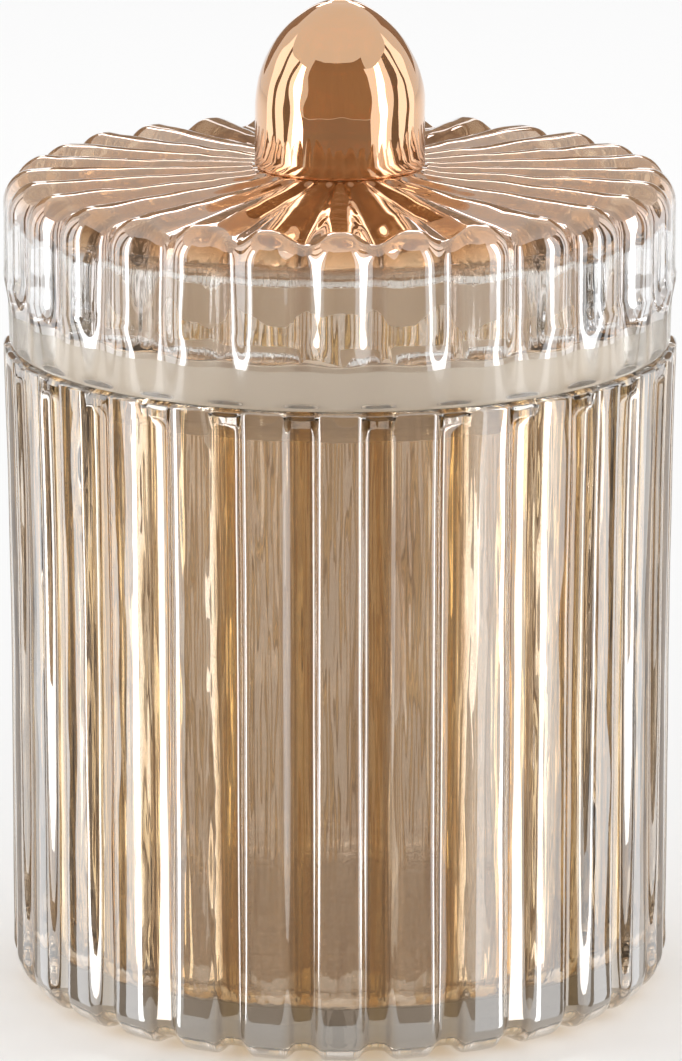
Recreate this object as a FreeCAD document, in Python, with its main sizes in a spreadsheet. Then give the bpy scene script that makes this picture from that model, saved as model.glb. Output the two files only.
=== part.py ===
import FreeCAD, Part
import math
import os
import re
import Sketcher
from FreeCAD import Placement, Rotation, Vector

# Apothecary jar: a fluted lustre-glass vessel with a fluted lid, a bullet knob and a seal ring.
# Millimetres, +Z up, the jar standing on Z = 0 about the Z axis; one lobe crest faces -Y.

DIMENSIONS = {
    # flutes shared by the jar and the lid
    "lobe_count": 28,
    "crest_land": 0.3,
    # jar: crest radii, heights, wall and floor
    "body_height": 98.5,
    "crest_rim": 50.5,
    "crest_wall": 49.9,
    "flare_start": 58,
    "foot_round": 5.2,
    "body_lobe_depth": 1.45,
    "body_lobe_radius": 11.4,
    "mouth_radius": 45,
    "bore_foot_radius": 44.2,
    "mouth_round": 0.8,
    "floor_height": 7,
    "floor_round": 5,
    "groove_fade": 10,
    # lid, measured up from the rim it sits on
    "seat_radius": 48.5,
    "seat_round": 1,
    "band_radius": 49.6,
    "band_height": 6.2,
    "lid_crest": 50.3,
    "lid_crest_start": 9.5,
    "lid_lobe_depth": 1.9,
    "lid_lobe_radius": 9.3,
    "shoulder_round": 5,
    "shoulder_top": 26,
    "groove_lead": 5,
    "hub_radius": 13.3,
    "hub_height": 26.4,
    "hub_lobe_depth": 0.45,
    "hub_lobe_radius": 2.7,
    "collar_radius": 45.3,
    "collar_depth": 6.4,
    "hollow_radius": 43.8,
    "hollow_height": 21,
    "hollow_round": 4,
    "socket_radius": 5.05,
    "socket_floor": 23.1,
    # knob, measured up from the hub it stands on
    "knob_radius": 12.75,
    "knob_height": 25.1,
    "knob_edge_round": 0.6,
    "knob_tip_round": 8,
    "knob_flank_round": 17.5,
    "knob_tip_angle": 30,
    "spigot_radius": 5,
    "spigot_length": 3,
    # seal ring, measured from the rim of the jar
    "ring_bore": 42.6,
    "ring_collar_radius": 45.25,
    "ring_collar_top": 6.2,
    "ring_rim_gap": 0.3,
    "ring_plug_radius": 44.2,
    "ring_plug_depth": 5.2,
    "ring_lead": 0.8,
    "rib_half": 0.5,
    "rib_round": 0.55,
    "rib_depth": 1.6,
    "rib_spacing": 2,
}

doc = FreeCAD.newDocument("ApothecaryJar")
dims = doc.addObject("Spreadsheet::Sheet", "dims")
for row, (name, value) in enumerate(DIMENSIONS.items(), start=1):
    dims.set("A%d" % row, name)
    dims.set("B%d" % row, str(value))
    dims.setAlias("B%d" % row, name)
doc.recompute()


def bound(text):
    """The text as an expression on the sheet: every dimension name gets the sheet's prefix."""
    return re.sub("[a-z_]+", lambda word: "dims." * (word[0] in DIMENSIONS) + word[0], text)


def number(text):
    """The present value of an expression of dimension names."""
    return float(doc.getObject("dims").evalExpression(bound(text)))


def new_body(label):
    body = doc.addObject("PartDesign::Body", label)
    body.Label = label
    return body


def datum(body, role):
    return [item for item in body.Origin.OriginFeatures if item.Role == role][0]


def new_sketch(body, name, role, offset=None):
    """A sketch on one of the body's own origin planes, moved along the plane's normal by an expression."""
    sketch = body.newObject("Sketcher::SketchObject", name)
    sketch.AttachmentSupport = [(datum(body, role), "")]
    sketch.MapMode = "FlatFace"
    if offset:
        sketch.AttachmentOffset = Placement(Vector(0, 0, number(offset)), Rotation())
        sketch.setExpression("AttachmentOffset.Base.z", bound(offset))
    return sketch


def arc_between(start, end, radius, side):
    """The short arc of this radius from start to end, bulging to the left (+1) or right (-1)."""
    chord = end - start
    half = chord.Length / 2
    rise = radius - math.sqrt(max(radius * radius - half * half, 0))
    left = Vector(-chord.y, chord.x, 0).normalize()
    return Part.Arc(start, (start + end) * 0.5 + left * rise * side, end)


def hold(sketch, kind, geometry, point, text):
    """Ties one coordinate of a point to the sheet."""
    value = number(text)
    if abs(value) < 1e-9:
        axis = -2 if kind == "DistanceX" else -1
        sketch.addConstraint(Sketcher.Constraint("PointOnObject", geometry, point, axis))
        return
    index = sketch.addConstraint(Sketcher.Constraint(kind, -1, 1, geometry, point, value))
    sketch.setExpression("Constraints[%d]" % index, bound(text))


def draw(sketch, corners, arcs=None, closed=True):
    """Draws an outline through the corners, given as pairs of expressions.

    arcs maps the number of an edge to (radius expression, side it bulges to).
    """
    arcs = arcs or {}
    points = [Vector(number(x), number(y), 0) for x, y in corners]
    last = len(points) if closed else len(points) - 1
    ends = []
    for edge in range(last):
        start = points[edge]
        end = points[(edge + 1) % len(points)]
        if edge not in arcs:
            sketch.addGeometry(Part.LineSegment(start, end))
            ends.append((1, 2))
            continue
        radius, side = arcs[edge]
        sketch.addGeometry(arc_between(start, end, number(radius), side))
        # a sketch keeps its arcs counter-clockwise, so one bulging left is stored end first
        ends.append((1, 2) if side < 0 else (2, 1))
    for edge in range(last):
        x, y = corners[edge]
        hold(sketch, "DistanceX", edge, ends[edge][0], x)
        hold(sketch, "DistanceY", edge, ends[edge][0], y)
        if edge + 1 < last or closed:
            following = (edge + 1) % last
            sketch.addConstraint(Sketcher.Constraint(
                "Coincident", edge, ends[edge][1], following, ends[following][0]))
    if not closed:
        hold(sketch, "DistanceX", last - 1, ends[-1][1], corners[-1][0])
        hold(sketch, "DistanceY", last - 1, ends[-1][1], corners[-1][1])
    for edge, (radius, side) in arcs.items():
        index = sketch.addConstraint(Sketcher.Constraint("Radius", edge, number(radius)))
        sketch.setExpression("Constraints[%d]" % index, bound(radius))


def revolve(body, name, sketch):
    feature = body.newObject("PartDesign::Revolution", name)
    feature.Profile = sketch
    feature.ReferenceAxis = (datum(body, "Z_Axis"), [""])
    feature.Angle = 360
    doc.recompute()
    return feature


def groove(body, name, section, path):
    feature = body.newObject("PartDesign::SubtractivePipe", name)
    feature.Profile = section
    feature.Spine = (path, [])
    feature.Mode = "Frenet"
    doc.recompute()
    return feature


def repeat_round(body, name, originals):
    feature = body.newObject("PartDesign::PolarPattern", name)
    feature.Originals = originals
    feature.Axis = (datum(body, "Z_Axis"), [""])
    feature.Angle = 360
    feature.setExpression("Occurrences", bound("lobe_count"))
    body.Tip = feature
    doc.recompute()
    return feature


def stand_at(body, height):
    """Stands the body at this height, turned half a lobe so that a crest faces -Y."""
    body.Placement = Placement(Vector(), Rotation(Vector(0, 0, 1), number("180 / lobe_count")))
    body.setExpression("Placement.Base.z", bound(height))
    body.setExpression("Placement.Rotation.Angle", bound("180 / lobe_count"))


# half the width of a groove where its crests lie at the given radius
def half_width(radius, land):
    return "%s * sin(180 / lobe_count) - %s" % (radius, land)


# ---------------------------------------------------------------- jar body
jar = new_body("jar_body")
stand_at(jar, "0")

flare = "((body_height - flare_start)^2 + (crest_rim - crest_wall)^2) / (2 * (crest_rim - crest_wall))"
jar_section = new_sketch(jar, "jar_section", "XZ_Plane")
draw(jar_section, [
    ("0", "0"),
    ("crest_wall - foot_round", "0"),
    ("crest_wall", "foot_round"),
    ("crest_wall", "flare_start"),
    ("crest_rim", "body_height"),
    ("mouth_radius + mouth_round", "body_height"),
    ("mouth_radius", "body_height - mouth_round"),
    ("bore_foot_radius", "floor_height + floor_round"),
    ("bore_foot_radius - floor_round", "floor_height"),
    ("0", "floor_height"),
], {
    1: ("foot_round", -1),
    3: (flare, 1),
    5: ("mouth_round", -1),
    7: ("floor_round", -1),
})
jar_blank = revolve(jar, "jar_blank", jar_section)

# each groove runs down the wall, round the foot and fades out under the base
over_rim = "body_height + 2"
start_radius = "crest_wall + %s - sqrt((%s)^2 - (%s - flare_start)^2)" % (flare, flare, over_rim)
jar_path = new_sketch(jar, "jar_groove_path", "XZ_Plane")
draw(jar_path, [
    (start_radius, over_rim),
    ("crest_wall", "flare_start"),
    ("crest_wall", "foot_round"),
    ("crest_wall - foot_round", "0"),
    ("crest_wall - foot_round - groove_fade * sin(33)", "groove_fade * (cos(33) - 1)"),
], {
    0: (flare, -1),
    2: ("foot_round", 1),
    3: ("groove_fade", -1),
}, closed=False)

jar_cut = new_sketch(jar, "jar_groove_section", "XY_Plane", over_rim)
jar_half = half_width("crest_wall", "crest_land")
jar_corner = "%s - crest_wall + sqrt(crest_wall^2 - (%s)^2) + 0.02" % (start_radius, jar_half)
draw(jar_cut, [
    (start_radius + " - body_lobe_depth", "0"),
    (jar_corner, "0 - (%s)" % jar_half),
    (start_radius + " + 2", "0 - (%s)" % jar_half),
    (start_radius + " + 2", jar_half),
    (jar_corner, jar_half),
], {
    0: ("body_lobe_radius", 1),
    4: ("body_lobe_radius", 1),
})
doc.recompute()
jar_groove = groove(jar, "jar_groove", jar_cut, jar_path)
jar_flutes = repeat_round(jar, "jar_flutes", [jar_groove])

# ---------------------------------------------------------------- lid cap
lid = new_body("lid_cap")
stand_at(lid, "body_height")

lid_swell = "((lid_crest_start - band_height)^2 + (lid_crest - band_radius)^2) / (2 * (lid_crest - band_radius))"
lid_section = new_sketch(lid, "lid_section", "XZ_Plane")
draw(lid_section, [
    ("seat_radius", "0"),
    ("seat_radius + seat_round", "seat_round"),
    ("band_radius", "band_height"),
    ("lid_crest", "lid_crest_start"),
    ("lid_crest", "shoulder_top - shoulder_round"),
    ("lid_crest - shoulder_round", "shoulder_top"),
    ("hub_radius", "hub_height"),
    ("socket_radius", "hub_height"),
    ("socket_radius", "socket_floor"),
    ("0", "socket_floor"),
    ("0", "hollow_height"),
    ("hollow_radius - hollow_round", "hollow_height"),
    ("hollow_radius", "hollow_height - hollow_round"),
    ("hollow_radius", "collar_depth"),
    ("collar_radius", "collar_depth"),
    ("collar_radius", "0"),
], {
    0: ("seat_round", -1),
    2: (lid_swell, -1),
    4: ("shoulder_round", -1),
    11: ("hollow_round", 1),
})
lid_blank = revolve(lid, "lid_blank", lid_section)

# a side groove starts under the shoulder's top edge, runs down the side and lifts out above the band
lid_path = new_sketch(lid, "lid_groove_path", "XZ_Plane")
draw(lid_path, [
    ("lid_crest - shoulder_round", "shoulder_top"),
    ("lid_crest", "shoulder_top - shoulder_round"),
    ("lid_crest", "lid_crest_start"),
    ("lid_crest + groove_lead * (1 - cos(52))", "lid_crest_start - groove_lead * sin(52)"),
], {
    0: ("shoulder_round", 1),
    2: ("groove_lead", -1),
}, closed=False)


def lid_groove_section(name, radius, top, depth, flank, land):
    """The groove's section on a plane square to its run over the top of the lid."""
    half = half_width(radius, land)
    sketch = new_sketch(lid, name, "YZ_Plane", radius)
    draw(sketch, [
        ("0", "%s - %s" % (top, depth)),
        (half, top),
        (half, top + " + 2"),
        ("0 - (%s)" % half, top + " + 2"),
        ("0 - (%s)" % half, top),
    ], {
        0: (flank, 1),
        4: (flank, 1),
    })
    return sketch


def lid_side_section(name):
    half = half_width("lid_crest", "crest_land")
    sketch = new_sketch(lid, name, "YZ_Plane", "lid_crest - shoulder_round")
    draw(sketch, [
        ("0", "shoulder_top - lid_lobe_depth"),
        (half, "shoulder_top"),
        (half, "shoulder_top + 2"),
        ("0 - (%s)" % half, "shoulder_top + 2"),
        ("0 - (%s)" % half, "shoulder_top"),
    ], {
        0: ("lid_lobe_radius", 1),
        4: ("lid_lobe_radius", 1),
    })
    return sketch


lid_side_cut = lid_side_section("lid_side_cut")
lid_top_outer = lid_side_section("lid_top_outer")
lid_top_inner = lid_groove_section("lid_top_inner", "hub_radius", "hub_height", "hub_lobe_depth",
                                   "hub_lobe_radius", "0.12")
doc.recompute()
lid_groove = groove(lid, "lid_groove", lid_side_cut, lid_path)
lid_flute = lid.newObject("PartDesign::SubtractiveLoft", "lid_flute")
lid_flute.Profile = lid_top_outer
lid_flute.Sections = [(lid_top_inner, [""])]
lid_flute.Ruled = True
doc.recompute()
lid_flutes = repeat_round(lid, "lid_flutes", [lid_groove, lid_flute])

# ---------------------------------------------------------------- knob
knob = new_body("lid_knob")
stand_at(knob, "body_height + hub_height")

tip_x = "knob_tip_round * sin(knob_tip_angle)"
tip_y = "knob_height - knob_tip_round * (1 - cos(knob_tip_angle))"
belly_y = "knob_height - knob_tip_round - (knob_flank_round - knob_tip_round) * cos(knob_tip_angle)"
knob_section = new_sketch(knob, "knob_section", "XZ_Plane")
draw(knob_section, [
    ("0", "0 - spigot_length"),
    ("spigot_radius", "0 - spigot_length"),
    ("spigot_radius", "0"),
    ("knob_radius - knob_edge_round", "0"),
    ("knob_radius", "knob_edge_round"),
    ("knob_radius", belly_y),
    (tip_x, tip_y),
    ("0", "knob_height"),
], {
    3: ("knob_edge_round", -1),
    5: ("knob_flank_round", -1),
    6: ("knob_tip_round", -1),
})
knob_solid = revolve(knob, "knob_solid", knob_section)

# ---------------------------------------------------------------- seal ring
ring = new_body("seal_ring")
stand_at(ring, "body_height")

ring_section = new_sketch(ring, "ring_section", "XZ_Plane")
draw(ring_section, [
    ("ring_bore", "0 - ring_plug_depth"),
    ("ring_plug_radius - ring_lead", "0 - ring_plug_depth"),
    ("ring_plug_radius", "ring_lead - ring_plug_depth"),
    ("ring_plug_radius", "ring_rim_gap"),
    ("ring_collar_radius", "ring_rim_gap"),
    ("ring_collar_radius", "ring_collar_top"),
    ("ring_bore", "ring_collar_top"),
])
ring_sleeve = revolve(ring, "ring_sleeve", ring_section)

rib_section = new_sketch(ring, "rib_section", "XZ_Plane")
draw(rib_section, [
    ("ring_plug_radius - rib_half", "rib_half - rib_depth"),
    ("ring_plug_radius - rib_half", "0 - rib_depth - rib_half"),
    ("ring_plug_radius", "0 - rib_depth - rib_half"),
    ("ring_plug_radius", "rib_half - rib_depth"),
], {
    2: ("rib_round", -1),
})
doc.recompute()
ring_rib = revolve(ring, "ring_rib", rib_section)
ring_ribs = ring.newObject("PartDesign::LinearPattern", "ring_ribs")
ring_ribs.Originals = [ring_rib]
ring_ribs.Direction = (datum(ring, "Z_Axis"), [""])
ring_ribs.Reversed = True
ring_ribs.Length = number("rib_spacing")
ring_ribs.setExpression("Length", bound("rib_spacing"))
ring_ribs.Occurrences = 2
ring.Tip = ring_ribs
doc.recompute()

# ---------------------------------------------------------------- checks and files
for item in doc.Objects:
    if "Invalid" in item.State or "Error" in item.State:
        raise RuntimeError("%s did not compute: %s" % (item.Name, item.State))

cuts = [
    (jar_blank, jar_groove),
    (jar_groove, jar_flutes),
    (lid_blank, lid_groove),
    (lid_groove, lid_flute),
    (lid_flute, lid_flutes),
]
for before, after in cuts:
    if after.Shape.Volume > before.Shape.Volume - 1:
        raise RuntimeError("%s removed nothing" % after.Name)
if ring_ribs.Shape.Volume < ring_rib.Shape.Volume + 1:
    raise RuntimeError("the second rib is missing")

os.makedirs("parts", exist_ok=True)
for body in (jar, lid, knob, ring):
    shape = body.Shape
    if shape.isNull() or not shape.isValid() or len(shape.Solids) != 1:
        raise RuntimeError("%s is not one sound solid" % body.Label)
    shape.exportStep("parts/%s.step" % body.Label)
    box = shape.optimalBoundingBox()
    print("%s: %.1f mm3, z %.2f to %.2f, x %.2f to %.2f" % (
        body.Label, shape.Volume, box.ZMin, box.ZMax, box.XMin, box.XMax))
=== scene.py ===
import math
import bpy
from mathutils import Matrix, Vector, noise


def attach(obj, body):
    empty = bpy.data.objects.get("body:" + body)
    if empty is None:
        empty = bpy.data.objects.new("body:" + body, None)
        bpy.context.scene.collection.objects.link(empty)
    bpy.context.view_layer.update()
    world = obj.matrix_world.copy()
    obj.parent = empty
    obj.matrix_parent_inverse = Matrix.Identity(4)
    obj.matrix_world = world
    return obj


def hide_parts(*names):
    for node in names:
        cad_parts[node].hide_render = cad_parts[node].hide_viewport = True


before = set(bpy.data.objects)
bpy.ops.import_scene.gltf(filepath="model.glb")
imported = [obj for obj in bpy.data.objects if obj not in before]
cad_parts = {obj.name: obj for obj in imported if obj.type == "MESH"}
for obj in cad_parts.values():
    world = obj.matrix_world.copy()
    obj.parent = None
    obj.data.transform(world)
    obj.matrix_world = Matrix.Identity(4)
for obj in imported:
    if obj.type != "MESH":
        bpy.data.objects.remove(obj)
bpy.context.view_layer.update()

# The outlines are in millimetres, and everything else is in metres.
MM = 0.001

# Jar, lid and knob are divided round alike, with a crest in the middle of the front.
LOBES = 28
PITCH = 2 * math.pi / LOBES
FRONT = -math.pi / 2
# places across half a lobe, from its crest at 0 to the middle of the valley at 1
HALF = [0, 0.16, 0.32, 0.42, 0.48, 0.53, 0.58, 0.63, 0.68, 0.73, 0.79, 0.88]
ACROSS = [-1.0] + [-t for t in HALF[:0:-1]] + HALF
# outside this radius the glass is tinted by the lobes, even where it is smooth
TINTED_FROM = 40

# where the lid stands on the jar, and the knob on the lid
RIM = 98.5
HUB = RIM + 26.4

# jar: radii over the crests and of the bore, and heights
LOBE_DEPTH = 1.45
WALL = 49.9
FOOT_FLAT = 44.7
FOOT_ROUND = 5.2
FLARE = 0.6
FLARE_FROM = 58.0
FLARE_RISE = 39.9
FLARE_STEPS = 12
LIP = 45.8
LIP_ROUND = 0.8
MOUTH = 45.0
BORE_FOOT = 44.2
BORE_ROUND = 5.0
JAR_FLOOR = 7.0

# lid: radii, and heights above the rim
CEILING = 21.0
CEILING_ROUND = 4.0
HOLLOW = 43.8
COLLAR = 45.3
COLLAR_TOP = 6.4
LID_EDGE = 48.5
LID_EDGE_ROUND = 1.0
BAND = 49.6
BAND_TOP = 5.2
BAND_DEPTH = 0.9
SIDE_STEPS = 8
LID_SIDE = 50.3
LID_DEPTH = 1.9
SHOULDER = 5.0
SHOULDER_FROM = 21.0
LID_TOP = 26.4
SOCKET = 5.05
SOCKET_FLOOR = 23.1

# knob: radii, and heights above the hub
SPIGOT = 5.0
SPIGOT_FOOT = -3.0
KNOB = 12.75
KNOB_FOOT_ROUND = 0.6
KNOB_STRAIGHT = 8.9
KNOB_TOP = 25.1


# ------------------------------------------------------------------ outlines
def line(start, end, steps):
    """Points from start up to, but not including, end, as (radius, height, flute depth)."""
    return [tuple(a + (b - a) * i / steps for a, b in zip(start, end)) for i in range(steps)]


def arc(centre, radius, first, last, steps, depth=0.0):
    """Points along an arc, as line gives them; angles are in degrees from the outward direction."""
    points = []
    for i in range(steps):
        a = math.radians(first + (last - first) * i / steps)
        r, z = centre[0] + radius * math.cos(a), centre[1] + radius * math.sin(a)
        points.append((r, z, depth))
    return points


def raised(points, height):
    return [(r, z + height, depth) for r, z, depth in points]


def outward(outline, i):
    """The unit normal on the right-hand side of the outline's direction of travel."""
    before = outline[max(i - 1, 0)]
    after = outline[min(i + 1, len(outline) - 1)]
    dr, dz = after[0] - before[0], after[1] - before[1]
    length = math.hypot(dr, dz) or 1.0
    return dz / length, -dr / length


def smooth(s):
    """0 to 1 for s from 0 to 1, level at both ends."""
    return s * s * (3 - 2 * s)


def channel(t):
    """A lobe's section on the jar: how far it has fallen at t, 0 on its crest and 1 in the valley.

    Crest and valley are only slightly curved, and a steeper flank joins them.
    """
    flank_from, flank_width, bow = 0.42, 0.36, 0.2
    flank = min(max((t - flank_from) / flank_width, 0.0), 1.0)
    return bow * t * t + (1 - bow) * smooth(flank)


def petal(t):
    """A lobe's section on the lid: an even swell with a rounded valley."""
    crest = 0.15
    return smooth(max((t - crest) / (1 - crest), 0.0))


def unevenness(angle, r, z, seed, pitch, tall):
    """How far the glass dips at a point, as a share of its wave, nearly always above 0.

    The swells are pitch apart round the piece, and tall times as far apart up it.
    """
    spot = Vector((math.cos(angle) * r, math.sin(angle) * r, z / tall)) / pitch
    spot += Vector((0, 0, seed))
    return 0.75 + noise.noise(spot) + 0.5 * noise.noise(spot * 2.3)


def add_mesh(name, verts, faces):
    mesh = bpy.data.meshes.new(name)
    mesh.from_pydata(verts, [], faces)
    mesh.update()
    thing = bpy.data.objects.new(name, mesh)
    bpy.context.scene.collection.objects.link(thing)
    return thing


def turned(name, outline, section, waves, seed, kind=None, pitch=6.7, tall=3.7):
    """A solid of revolution from an outline, fluted with a section where its depth says so.

    The outline starts and ends on the axis. waves gives the glass's unevenness, in millimetres, at
    a point of the outline, and seed, pitch and tall its pattern. kind says which of the piece's
    materials a point of the outline takes.
    """
    places = [(t, FRONT + (lobe + t / 2) * PITCH) for lobe in range(LOBES) for t in ACROSS]
    n = len(places)
    verts, faces, kinds, valleys = [], [], [], []
    for i, (r, z, depth) in enumerate(outline[1:-1], start=1):
        nr, nz = outward(outline, i)
        wave = waves(r, z)
        for t, angle in places:
            fallen = section(abs(t))
            drop = depth * fallen
            if wave:
                drop += wave * unevenness(angle, r, z, seed, pitch, tall)
            rr, zz = r - nr * drop, z - nz * drop
            verts.append((rr * math.cos(angle) * MM, rr * math.sin(angle) * MM, zz * MM))
            valleys.append(fallen if depth or r > TINTED_FROM else 0.0)
    kind_at = [kind(r, z) if kind else 0 for r, z, _ in outline]
    for i in range(1, len(outline) - 2):
        kinds += [min(kind_at[i], kind_at[i + 1])] * n
        low, high = (i - 1) * n, i * n
        for j in range(n):
            k = (j + 1) % n
            faces.append((low + j, low + k, high + k, high + j))
    last_ring = len(outline) - 3
    for ring, end, order in ((0, 0, -1), (last_ring, -1, 1)):
        verts.append((0.0, 0.0, outline[end][1] * MM))
        valleys.append(0.0)
        apex = len(verts) - 1
        for j in range(n):
            faces.append((ring * n + j, ring * n + (j + 1) % n, apex)[::order])
        kinds += [kind_at[end]] * n
    piece = add_mesh(name, verts, faces)
    mesh = piece.data
    mesh.polygons.foreach_set("use_smooth", [True] * len(mesh.polygons))
    mesh.polygons.foreach_set("material_index", kinds)
    mesh.attributes.new("valley", "FLOAT", "POINT").data.foreach_set("value", valleys)
    mesh.update()
    return piece


# ------------------------------------------------------------------ materials
GLASS_IOR = 1.5
LUSTRE_IOR = 2.4
LUSTRE_ROUGHNESS = 0.02
SHADOW_TINT = (0.94, 0.91, 0.87)

# painted shade: brown bands on the flanks of the jar's flutes, standing in for the darkness
# refraction gives there: (valley depth, strength)
FLANK_SHADE_TINT = (0.34, 0.21, 0.10)
FLANK_SHADE_STOPS = ((0.50, 0.0), (0.74, 0.75), (0.86, 0.75), (0.94, 0.0))
# painted shade: a dark line at the bottom of the lid's flutes
GROOVE_SHADE_FROM = 0.72
GROOVE_SHADE_STRENGTH = 0.5
# the lid's heart: a flattened ball round its top, and the radii between which it fades
HEART_CENTRE = HUB - 1
HEART_FLATTENED = 4
HEART_INNER = 0.047
HEART_OUTER = 0.056
# streaks: how fine, how drawn out, and the noise values between which they show
STREAK_TINT = (0.50, 0.30, 0.16)
STREAK_SCALE = 420
STREAK_DRAWN = 0.05
STREAK_FROM = 0.56
STREAK_TO = 0.66


def new_material(name):
    material = bpy.data.materials.new(name)
    material.use_nodes = True
    return material, material.node_tree, material.node_tree.nodes["Principled BSDF"]


def set_inputs(node, values):
    for socket, value in values.items():
        node.inputs[socket].default_value = value


def plain(name, colour, roughness):
    material, _, shader = new_material(name)
    set_inputs(shader, {"Base Color": (*colour, 1), "Roughness": roughness})
    return material


def glow(name, colour, strength):
    material, tree, shader = new_material(name)
    tree.nodes.remove(shader)
    light = tree.nodes.new("ShaderNodeEmission")
    set_inputs(light, {"Color": (*colour, 1), "Strength": strength})
    tree.links.new(light.outputs["Emission"], tree.nodes["Material Output"].inputs["Surface"])
    return material


def blend(tree, factor, first, second):
    """A mix of two colours by a factor; first may be a colour or another mix."""
    node = tree.nodes.new("ShaderNodeMix")
    node.data_type = "RGBA"
    tree.links.new(factor, node.inputs["Factor"])
    if isinstance(first, tuple):
        node.inputs["A"].default_value = (*first, 1)
    else:
        tree.links.new(first, node.inputs["A"])
    node.inputs["B"].default_value = (*second, 1)
    return node.outputs["Result"]


def map_range(tree, value, start, end, low=0.0, high=1.0, interpolation="LINEAR"):
    node = tree.nodes.new("ShaderNodeMapRange")
    node.interpolation_type = interpolation
    set_inputs(node, {"From Min": start, "From Max": end, "To Min": low, "To Max": high})
    tree.links.new(value, node.inputs["Value"])
    return node.outputs["Result"]


def valley_depth(tree):
    """0 on the crests of the flutes and 1 in the middle of their valleys."""
    node = tree.nodes.new("ShaderNodeAttribute")
    node.attribute_name = "valley"
    return node.outputs["Fac"]


def painted_flank_shade(tree, depth):
    """A band of painted shade part of the way down each flank of a flute, standing in for the
    darkness of refraction there.
    """
    node = tree.nodes.new("ShaderNodeValToRGB")
    stops = node.color_ramp.elements
    for place, level in FLANK_SHADE_STOPS:
        stops.new(place).color = (level, level, level, 1)
    stops[-1].color = (0, 0, 0, 1)
    tree.links.new(depth, node.inputs["Fac"])
    return node.outputs["Color"]


def mapped(tree, scale, location=(0, 0, 0)):
    """Places on the object, scaled and then moved."""
    where = tree.nodes.new("ShaderNodeTexCoord")
    node = tree.nodes.new("ShaderNodeMapping")
    set_inputs(node, {"Location": location, "Scale": scale})
    tree.links.new(where.outputs["Object"], node.inputs["Vector"])
    return node.outputs["Vector"]


def from_lid_top(tree):
    """0 over the lid's top and 1 down its sides."""
    place = mapped(tree, (1, 1, HEART_FLATTENED), (0, 0, -HEART_FLATTENED * HEART_CENTRE * MM))
    far = tree.nodes.new("ShaderNodeVectorMath")
    far.operation = "LENGTH"
    tree.links.new(place, far.inputs[0])
    return map_range(tree, far.outputs["Value"], HEART_INNER, HEART_OUTER,
                     interpolation="SMOOTHSTEP")


def streaks(tree):
    """Fine streaks that run up the glass."""
    pattern = tree.nodes.new("ShaderNodeTexNoise")
    set_inputs(pattern, {"Scale": STREAK_SCALE, "Detail": 2})
    tree.links.new(mapped(tree, (1, 1, STREAK_DRAWN)), pattern.inputs["Vector"])
    return pattern.outputs["Fac"]


def glass(name, colour, metal=0.0, coat=0.0, rough=0.02, clear=1.0, grain=0.0,
          valley=None, groove_shade=None, heart=None, heart_metal=0.0, coat_ior=LUSTRE_IOR):
    """Lustre glass, partly mirrored, with a hard bright surface.

    valley is its tint in the valleys of the flutes, and with it comes painted shade: brown bands
    down the flanks that stand in for the darkness of refraction. The groove tint is a line of
    painted shade at the bottom of a valley. heart is a warmer tint on top of the lid, where the
    glass may be more of a mirror too. grain is how strong the fine streaks are.
    """
    material, tree, shader = new_material(name)
    nodes, links = tree.nodes, tree.links
    set_inputs(shader, {
        "Base Color": (*colour, 1), "Metallic": metal, "Roughness": rough, "IOR": GLASS_IOR,
        "Transmission Weight": clear, "Coat Weight": coat, "Coat IOR": coat_ior,
        "Coat Roughness": LUSTRE_ROUGHNESS,
    })
    tint = colour
    if valley:
        depth = valley_depth(tree)
        tint = blend(tree, depth, tint, valley)
        # painted shade: brown bands down the flanks of the flutes
        tint = blend(tree, painted_flank_shade(tree, depth), tint, FLANK_SHADE_TINT)
    if heart:
        fade = from_lid_top(tree)
        tint = blend(tree, fade, heart, colour)
        links.new(map_range(tree, fade, 0.0, 1.0, heart_metal, metal), shader.inputs["Metallic"])
    # painted shade: a dark line at the bottom of each valley
    if groove_shade:
        bottom = map_range(tree, valley_depth(tree), GROOVE_SHADE_FROM, 1.0, 0.0, GROOVE_SHADE_STRENGTH)
        tint = blend(tree, bottom, tint, groove_shade)
    if grain:
        streak = streaks(tree)
        bump = nodes.new("ShaderNodeBump")
        set_inputs(bump, {"Strength": grain, "Distance": 1 * MM})
        links.new(streak, bump.inputs["Height"])
        links.new(bump.outputs["Normal"], shader.inputs["Normal"])
        thin = map_range(tree, streak, STREAK_FROM, STREAK_TO, 0.0, grain)
        tint = blend(tree, thin, tint, STREAK_TINT)
    if tint is not colour:
        links.new(tint, shader.inputs["Base Color"])
    # light passes straight through to what the glass shades
    through = nodes.new("ShaderNodeBsdfTransparent")
    through.inputs["Color"].default_value = (*SHADOW_TINT, 1)
    path = nodes.new("ShaderNodeLightPath")
    pick = nodes.new("ShaderNodeMixShader")
    links.new(path.outputs["Is Shadow Ray"], pick.inputs["Fac"])
    links.new(shader.outputs["BSDF"], pick.inputs[1])
    links.new(through.outputs["BSDF"], pick.inputs[2])
    links.new(pick.outputs["Shader"], nodes["Material Output"].inputs["Surface"])
    return material


# the valley tints bring painted shade down the flanks of the jar's flutes
jar_glass = glass("jar_glass", (0.96, 0.91, 0.85), metal=0.1, coat=1.0,
                  valley=(0.68, 0.44, 0.16))
jar_lustre = glass("jar_lustre", (0.96, 0.86, 0.74), metal=0.42, grain=0.5,
                   valley=(0.92, 0.68, 0.34))
lid_collar = glass("lid_collar", (0.97, 0.93, 0.86), rough=0.12, clear=0.8)
# the lid's flutes get a line of painted shade at the bottom of their valleys
lid_glass = glass("lid_glass", (0.98, 0.98, 0.98), coat=1.0, groove_shade=(0.42, 0.22, 0.11),
                  heart=(0.66, 0.34, 0.13), heart_metal=0.5)
lid_lustre = glass("lid_lustre", (0.98, 0.96, 0.92), metal=0.06, grain=0.25,
                   heart=(0.94, 0.78, 0.58), heart_metal=0.25)
knob_glass = glass("knob_glass", (0.98, 0.44, 0.09), metal=0.84, coat=1.0, coat_ior=3.0)

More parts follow.
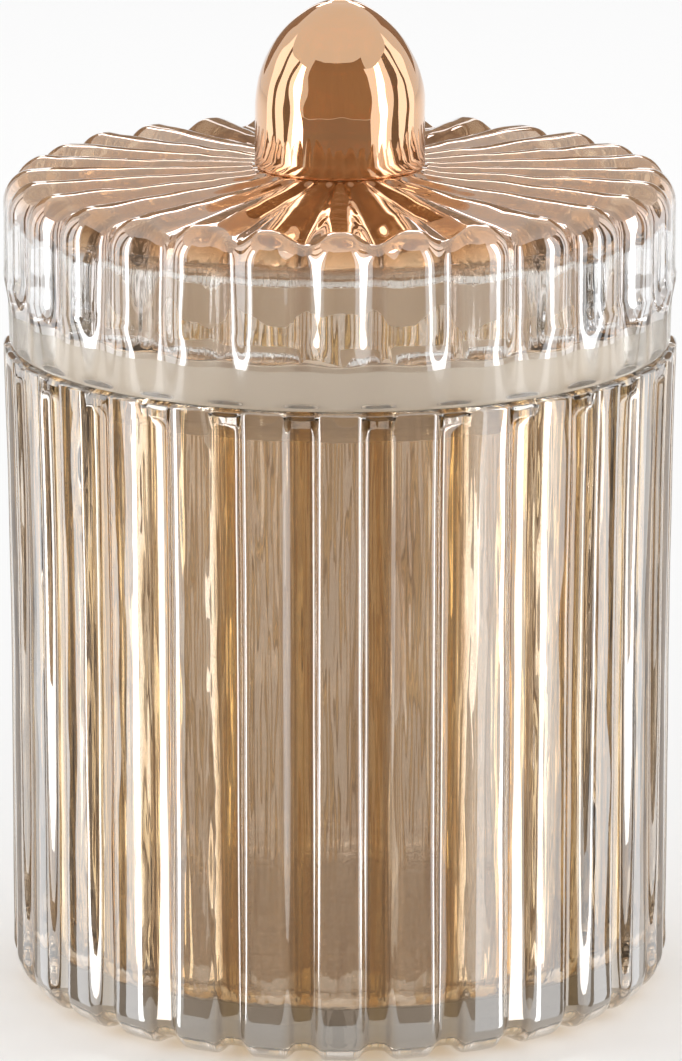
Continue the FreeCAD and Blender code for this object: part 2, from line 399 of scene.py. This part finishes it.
seal, _, seal_shader = new_material("seal")
set_inputs(seal_shader, {
    "Base Color": (0.97, 0.91, 0.84, 1), "Roughness": 0.3, "IOR": 1.41,
    "Transmission Weight": 0.15,
})

# ------------------------------------------------------------------ jar
# the foot and its rounded corner, and the straight wall
jar_outline = (
    line((0.0, 0.0, 0.0), (38.0, 0.0, 0.0), 2)
    + line((38.0, 0.0, 0.0), (FOOT_FLAT, 0.0, LOBE_DEPTH), 6)
    + arc((FOOT_FLAT, FOOT_ROUND), FOOT_ROUND, -90, 0, 12, LOBE_DEPTH)
    + line((WALL, FOOT_ROUND, LOBE_DEPTH), (WALL, FLARE_FROM, LOBE_DEPTH), 16)
)
# a slight flare up to the mouth
for i in range(FLARE_STEPS + 1):
    z = FLARE_FROM + FLARE_RISE * i / FLARE_STEPS
    flare = FLARE * ((z - FLARE_FROM) / (RIM - FLARE_FROM)) ** 2
    jar_outline.append((WALL + flare, z, LOBE_DEPTH))
# the lip, where the lobes run out
jar_outline += [(50.35, 98.25, 1.4), (49.9, RIM, 1.2), (49.0, RIM, 0.35)]
jar_outline += line((47.6, RIM, 0.0), (LIP, RIM, 0.0), 2)
jar_outline += arc((LIP, 97.7), LIP_ROUND, 90, 180, 5)
# the bore, down to the floor
jar_outline += line((MOUTH, 97.7, 0.0), (BORE_FOOT, 12.0, 0.0), 24)
jar_outline += arc((39.2, 12.0), BORE_ROUND, 0, -90, 10)
jar_outline += line((39.2, JAR_FLOOR, 0.0), (0.0, JAR_FLOOR, 0.0), 5)
jar_outline += [(0.0, JAR_FLOOR, 0.0)]


def jar_kind(r, z):
    """0 for the outside and the lip, 1 for the bore and the floor."""
    return int(r < MOUTH + 0.2 and JAR_FLOOR - 0.1 < z < 98)


def jar_waves(r, z):
    """Strong on the wall of the bore and slight outside, without the foot and the lip."""
    bore = 44.0 < r < MOUTH + 0.1 and 12 < z < 97
    outside = r > WALL - 0.1 and 6 < z < 98
    return 0.26 if bore else 0.1 if outside else 0.0


jar = turned("jar_shell", jar_outline, channel, jar_waves, 3.0, jar_kind)
jar.data.materials.append(jar_glass)
jar.data.materials.append(jar_lustre)
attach(jar, "jar")
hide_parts("jar_body")

# ------------------------------------------------------------------ lid
# the hollow, from the middle of its ceiling down to the ledge over the seal ring
lid_outline = [(0.0, CEILING, 0.0)]
lid_outline += line((10.0, CEILING, 0.0), (39.8, CEILING, 0.0), 4)
lid_outline += arc((39.8, 17.0), CEILING_ROUND, 90, 0, 8)
lid_outline += line((HOLLOW, 17.0, 0.0), (HOLLOW, COLLAR_TOP, 0.0), 4)
lid_outline += [(HOLLOW, COLLAR_TOP, 0.0), (43.95, COLLAR_TOP, 0.0), (45.15, COLLAR_TOP, 0.0)]
# the collar's inside, and the lid's edge on the rim
lid_outline += [(COLLAR, COLLAR_TOP, 0.0), (COLLAR, 6.2, 0.0), (COLLAR, 0.2, 0.0)]
lid_outline += [(COLLAR, 0.0, 0.0), (45.5, 0.0, 0.0), (48.3, 0.0, 0.0)]
lid_outline += arc((LID_EDGE, LID_EDGE_ROUND), LID_EDGE_ROUND, -90, 0, 6)
# the band, the swell above it, and the fluted side
lid_outline += line((49.5, 1.0, 0.4), (BAND, BAND_TOP, BAND_DEPTH), 4)
for i in range(SIDE_STEPS + 1):
    t = i / SIDE_STEPS
    s = smooth(t)
    lid_outline.append((BAND + 0.7 * s, BAND_TOP + 5.2 * t, BAND_DEPTH + s))
lid_outline += line((LID_SIDE, 11.2, LID_DEPTH), (LID_SIDE, SHOULDER_FROM, LID_DEPTH), 6)
# the shoulder, and the top with its petals running out at the hub
lid_outline += arc((COLLAR, SHOULDER_FROM), SHOULDER, 0, 90, 12, LID_DEPTH)
lid_outline += line((COLLAR, 26.0, LID_DEPTH), (13.3, LID_TOP, 0.45), 16)
lid_outline += [(13.3, LID_TOP, 0.4), (13.0, LID_TOP, 0.0)]
# the socket for the knob
lid_outline += line((SOCKET, LID_TOP, 0.0), (SOCKET, SOCKET_FLOOR, 0.0), 3)
lid_outline += [(SOCKET, SOCKET_FLOOR, 0.0), (4.8, SOCKET_FLOOR, 0.0), (0.0, SOCKET_FLOOR, 0.0)]


def in_hollow(r, z):
    return r < HOLLOW + 0.1 and z < RIM + CEILING + 0.5


def lid_kind(r, z):
    """0 for the outside and the socket, 1 for the hollow, 2 for the collar."""
    if r < HOLLOW + 0.1:
        return int(in_hollow(r, z))
    return 2 if z < RIM + 6.5 else 0


def lid_waves(r, z):
    """Slight in the hollow and stronger on the side and top, without the band and the hub."""
    top = r > 14 and z > RIM + 11
    return 0.15 if in_hollow(r, z) else 0.25 if top else 0.0


lid = turned("lid_shell", raised(lid_outline, RIM), petal, lid_waves, 11.0, lid_kind)
lid.data.materials.append(lid_glass)
lid.data.materials.append(lid_lustre)
lid.data.materials.append(lid_collar)
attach(lid, "lid")
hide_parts("lid_cap")

# ------------------------------------------------------------------ knob
# the spigot and the flat foot round it
knob_outline = [(0.0, SPIGOT_FOOT, 0.0), (4.8, SPIGOT_FOOT, 0.0), (SPIGOT, SPIGOT_FOOT, 0.0)]
knob_outline += [(SPIGOT, -2.8, 0.0), (SPIGOT, 0.0, 0.0), (5.2, 0.0, 0.0), (12.0, 0.0, 0.0)]
knob_outline += arc((12.15, KNOB_FOOT_ROUND), KNOB_FOOT_ROUND, -90, 0, 5)
# the straight side, the long curve of the bullet and its rounded tip
knob_outline += line((KNOB, KNOB_FOOT_ROUND, 0.0), (KNOB, KNOB_STRAIGHT, 0.0), 6)
knob_outline += arc((-4.75, KNOB_STRAIGHT), 17.5, 0, 60, 20)
knob_outline += arc((0.0, 17.1), 8.0, 60, 90, 10) + [(0.0, KNOB_TOP, 0.0)]


def knob_waves(r, z):
    """Slight, without the foot and the tip."""
    return 0.1 if z > HUB + 0.7 and r > 1.5 else 0.0


knob = turned("knob_bullet", raised(knob_outline, HUB), petal, knob_waves, 5.0,
              pitch=5.0, tall=1.6)
knob.data.materials.append(knob_glass)
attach(knob, "lid")
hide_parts("lid_knob")

# ------------------------------------------------------------------ seal ring
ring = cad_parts["seal_ring"]
for place in ring.material_slots:
    place.material = seal

# ------------------------------------------------------------------ room, light and camera
FLOOR_HALF = 3
FLOOR_COLOUR = (0.87, 0.87, 0.87)
MATT = 0.9
SECTOR_STEPS = 12
JAR_RADIUS = 50 * MM
ROOM_BRIGHTNESS = 0.78

SENSOR = 36
LENS = 224.7
SHIFT_X = 0.001
CAMERA_RISE = math.radians(14.224)
CAMERA_DISTANCE = 0.9994
AIM = Vector((0, 0, 0.0688))


def staged(name, verts, faces, material):
    """A mesh that belongs to the room and not to the jar."""
    thing = add_mesh(name, verts, faces)
    thing.data.materials.append(material)
    return thing


def facing(place, target):
    return (Vector(target) - Vector(place)).to_track_quat("-Z", "Y").to_euler()


def lamp(name, place, target, size, power):
    data = bpy.data.lights.new(name, "AREA")
    data.shape = "RECTANGLE"
    data.size, data.size_y = size
    data.energy = power
    thing = bpy.data.objects.new(name, data)
    thing.location = place
    thing.rotation_euler = facing(place, target)
    bpy.context.scene.collection.objects.link(thing)
    return thing


def sector(name, first, last, profile, material, start=JAR_RADIUS):
    """A card or panel round the jar between two bearings, in degrees from the front, towards +X.

    Its profile gives distances and heights. A point at a bearing is reached from the place on a
    wall of radius start that mirrors the front to that bearing. It only shows in reflections and
    through the glass.
    """
    verts, faces = [], []
    for i in range(SECTOR_STEPS + 1):
        a = math.radians(first + (last - first) * i / SECTOR_STEPS)
        foot = Vector((math.sin(a / 2), -math.cos(a / 2), 0)) * start
        for far, z in profile:
            verts.append(foot + Vector((far * math.sin(a), -far * math.cos(a), z)))
    n = len(profile)
    for i in range(SECTOR_STEPS):
        for j in range(n - 1):
            near, ahead = i * n + j, (i + 1) * n + j
            faces.append((near, ahead, ahead + 1, near + 1))
    thing = staged(name, verts, faces, material)
    thing.visible_camera = False
    thing.visible_diffuse = False
    thing.visible_shadow = False


half = FLOOR_HALF
floor_corners = [(-half, -half, 0), (half, -half, 0), (half, half, 0), (-half, half, 0)]
staged("floor", floor_corners, [(0, 1, 2, 3)], plain("floor", FLOOR_COLOUR, MATT))

panel = glow("panel", (0.95, 0.97, 1.0), 1.5)
soft = glow("soft_panel", (0.95, 0.97, 1.0), 1.2)
strip = glow("strip", (0.96, 0.98, 1.0), 4.5)
dark = plain("dark_card", (0.30, 0.22, 0.155), MATT)
umber = plain("umber_card", (0.18, 0.135, 0.10), MATT)
amber = plain("amber_card", (0.30, 0.20, 0.13), MATT)
tan = plain("tan_card", (0.37, 0.25, 0.15), MATT)
grey = plain("grey_card", (0.34, 0.31, 0.29), MATT)

# light panels that lean back from the table on both sides, with dark gaps between them
LEANING = [(0.006, 0.0006), (0.11, 0.05), (0.45, 0.5)]
for name, first, last, material in (
    ("left_outer", -130, -113, panel), ("left_gap", -113, -104, umber),
    ("left_inner", -104, -86, panel), ("left_line", -86, -80, umber),
    ("left_edge", -80, -73, panel), ("left_strip", -73, -60, strip),
    ("right_strip", 59, 72, strip), ("right_edge", 45, 59, soft),
    ("right_inner", 72, 84, soft), ("right_gap", 84, 97, umber),
    ("right_outer", 97, 108, panel), ("right_line", 108, 114, umber),
    ("right_end", 114, 130, panel),
):
    sector(name, first, last, LEANING, material)

# cards that lie on the table, in front and behind on both sides
LYING_FRONT = [(0.018, 0.0005), (1.05, 0.0005)]
LYING_SIDE = [(0.008, 0.0005), (0.45, 0.0005)]
sector("front_floor", -57, 45, LYING_FRONT, dark)
sector("left_floor", -163, -136, LYING_SIDE, grey)
sector("right_floor", 136, 163, LYING_SIDE, grey)

# upright cards and panels further off, in front and behind
for name, first, last, profile, material in (
    ("front_card", -50, 46, [(1.15, 0), (1.15, 1.4)], tan),
    ("back_card", 140, 220, [(0.6, 0.16), (0.7, 0.55)], amber),
    ("back_left", 168.5, 172.5, [(0.56, 0.14), (0.58, 0.36)], panel),
    ("back_right", 187.5, 191.5, [(0.56, 0.14), (0.58, 0.36)], panel),
    ("back_arch", 160, 200, [(0.56, 0.40), (0.56, 0.50)], strip),
):
    sector(name, first, last, profile, material, start=0)

back = lamp("back_box", place=(0, 0.6, 1.25), target=(0, 0.45, 0), size=(1.6, 1.2), power=8)
back.visible_glossy = False

world = bpy.data.worlds.new("room")
world.use_nodes = True
set_inputs(world.node_tree.nodes["Background"],
           {"Color": (1, 1, 1, 1), "Strength": ROOM_BRIGHTNESS})
bpy.context.scene.world = world
bpy.context.scene.view_settings.view_transform = "Standard"

camera_data = bpy.data.cameras.new("camera")
camera_data.sensor_width = SENSOR
camera_data.lens = LENS
camera_data.shift_x = SHIFT_X
camera = bpy.data.objects.new("camera", camera_data)
towards_camera = Vector((0, -math.cos(CAMERA_RISE), math.sin(CAMERA_RISE)))
camera.location = AIM + towards_camera * CAMERA_DISTANCE
camera.rotation_euler = facing(camera.location, AIM)
bpy.context.scene.collection.objects.link(camera)
bpy.context.scene.camera = camera
